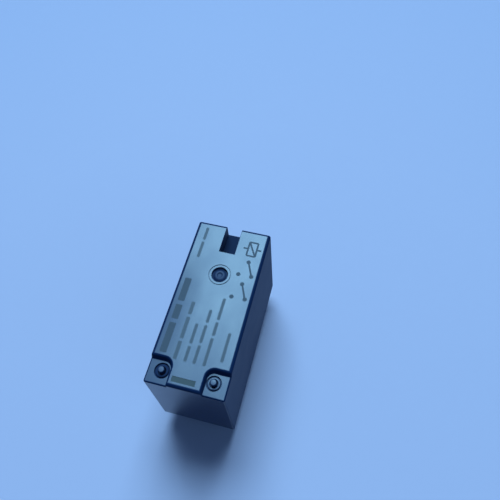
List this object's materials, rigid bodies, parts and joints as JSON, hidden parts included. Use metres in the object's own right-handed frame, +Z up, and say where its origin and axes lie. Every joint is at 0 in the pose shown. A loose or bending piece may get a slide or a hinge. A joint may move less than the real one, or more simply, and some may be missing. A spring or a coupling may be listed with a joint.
{
  "type": "pcb power relay",
  "caption": "Sealed black box relay for a printed circuit board: a coil moves a hinged armature, whose push rod switches change-over contacts; flat solder pins below",
  "frame": {"origin": "centre of the cover's rim, on the plane that sits on the board", "axes": "+X along the body towards the coil end, +Y across the body, +Z up from the board"},
  "size_m": [0.0286, 0.0128, 0.024],
  "materials": {
    "cover_plastic": "fine satin moulded black",
    "base_plastic": "moulded black",
    "epoxy": "poured, glossy, dark",
    "bobbin_plastic": "natural moulded",
    "enamelled_copper": "enamelled copper wire",
    "tinned_terminal": "tinned copper alloy",
    "soft_iron": "plated iron",
    "silver_alloy": "silver alloy contact",
    "bronze_leaf": "rolled bronze leaf",
    "card_plastic": "natural moulded"
  },
  "bodies": {
    "housing": {"cover": "cover_plastic", "base": "base_plastic", "sealing_resin": "epoxy", "bobbin": "bobbin_plastic", "coil_winding": "enamelled_copper", "coil_lead_a": "enamelled_copper", "coil_lead_b": "enamelled_copper", "coil_terminal_a": "tinned_terminal", "coil_terminal_b": "tinned_terminal", "core": "soft_iron", "yoke": "soft_iron", "com_terminal_a": "tinned_terminal", "com_terminal_b": "tinned_terminal", "nc_terminal_a": "tinned_terminal", "nc_terminal_b": "tinned_terminal", "no_terminal_a": "tinned_terminal", "no_terminal_b": "tinned_terminal", "nc_contact_a": "silver_alloy", "nc_contact_b": "silver_alloy", "no_contact_a": "silver_alloy", "no_contact_b": "silver_alloy"},
    "armature": {"armature": "soft_iron", "hinge_spring": "bronze_leaf"},
    "card": {"card": "card_plastic"},
    "spring_a": {"moving_spring_a": "bronze_leaf", "moving_contact_a": "silver_alloy"},
    "spring_b": {"moving_spring_b": "bronze_leaf", "moving_contact_b": "silver_alloy"}
  },
  "joints": [
    {"name": "armature_hinge", "type": "hinge", "parent": "housing", "child": "armature", "pos_m": [0.0054, 0, 0.015], "axis": [0, 1, 0], "range_deg": [0, 4.51]},
    {"name": "card_slide", "type": "slide", "parent": "housing", "child": "card", "axis": [-1, 0, 0], "range_m": [0, 0.00048], "stiffness_N_per_m": 134, "springref_m": -0.00183},
    {"name": "spring_a_flex", "type": "hinge", "parent": "housing", "child": "spring_a", "pos_m": [-0.00822, 0.00381, 0.0026], "axis": [0, -1, 0], "range_deg": [0, 4.37]},
    {"name": "spring_b_flex", "type": "hinge", "parent": "housing", "child": "spring_b", "pos_m": [-0.00822, -0.00381, 0.0026], "axis": [0, -1, 0], "range_deg": [0, 4.37]}
  ],
  "couplings": [
    {"joint": "armature_hinge", "follows": "card_slide", "rad_per_m": 163.93},
    {"joint": "spring_a_flex", "follows": "card_slide", "rad_per_m": 158.73},
    {"joint": "spring_b_flex", "follows": "card_slide", "rad_per_m": 158.73}
  ]
}
